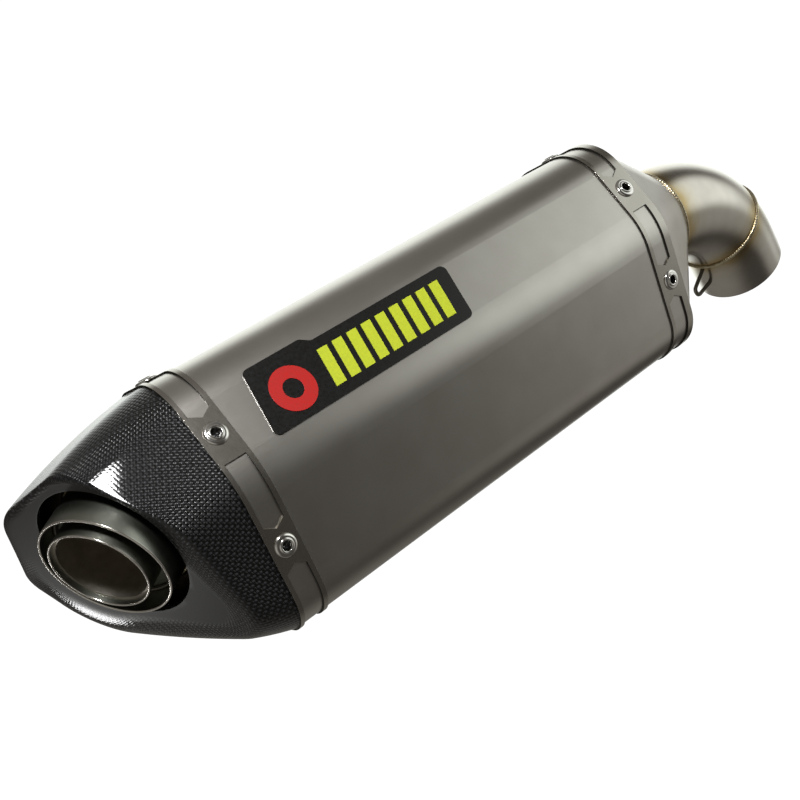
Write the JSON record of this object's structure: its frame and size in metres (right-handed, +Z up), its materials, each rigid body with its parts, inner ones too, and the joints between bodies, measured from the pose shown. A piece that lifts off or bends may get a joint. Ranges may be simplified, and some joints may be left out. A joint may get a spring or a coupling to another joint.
{
  "type": "racing exhaust system",
  "caption": "Slip-on racing silencer with a six-sided riveted metal sleeve, carbon end cap, slanted outlet with a pull-out noise insert, inlet cone and bent inlet pipe.",
  "frame": {"origin": "middle of the sleeve's length on the section's centre line, where a hanger band grips the sleeve", "axes": "+X along the sleeve from the outlet to the inlet, +Z up, -Y towards the outer side that carries the badge"},
  "size_m": [0.4896, 0.0968, 0.1307],
  "materials": {
    "sleeve_titanium": "satin brushed titanium sheet",
    "strap_titanium": "satin titanium band with bright cut edges",
    "cone_titanium": "satin titanium sheet",
    "pipe_titanium": "brushed titanium with a straw heat tint at the welds",
    "weld_bead": "rippled weld bead, straw tinted",
    "rivet_steel": "bright stainless steel",
    "tube_steel": "satin stainless steel with polished rims",
    "spring_steel": "drawn wire",
    "inner_metal": "plain sheet, heat darkened",
    "mesh_steel": "fine stainless mesh",
    "wool": "glass fibre packing",
    "carbon": "clear coated carbon fibre weave",
    "badge_black": "black enamel plate",
    "badge_red": "red enamel",
    "badge_yellow": "yellow-green enamel"
  },
  "bodies": {
    "silencer": {"outer_sleeve": "sleeve_titanium", "sleeve_seam_weld": "weld_bead", "outlet_strap": "strap_titanium", "inlet_strap": "strap_titanium", "outlet_rivets": "rivet_steel", "inlet_rivets": "rivet_steel", "carbon_cap": "carbon", "outlet_inner_cap": "inner_metal", "outlet_tube": "tube_steel", "outlet_tube_weld": "weld_bead", "outlet_bulkhead": "inner_metal", "inlet_bulkhead": "inner_metal", "perforated_core": "inner_metal", "core_mesh_wrap": "mesh_steel", "packing_wool": "wool", "inlet_cone": "cone_titanium", "inlet_elbow": "pipe_titanium", "slip_fit_elbow": "pipe_titanium", "cone_weld": "weld_bead", "elbow_weld": "weld_bead", "spring_hook": "spring_steel", "badge_plate": "badge_black", "badge_disc": "badge_red", "badge_bars": "badge_yellow"},
    "noise_insert": {"noise_insert_tube": "tube_steel", "noise_insert_core": "tube_steel", "noise_insert_plate": "tube_steel", "noise_insert_flange": "tube_steel", "noise_insert_clip": "spring_steel"}
  },
  "joints": [
    {"name": "noise_insert_slide", "type": "slide", "parent": "silencer", "child": "noise_insert", "axis": [-0.8369, -0.4246, -0.3453], "range_m": [0, 0.06]}
  ]
}
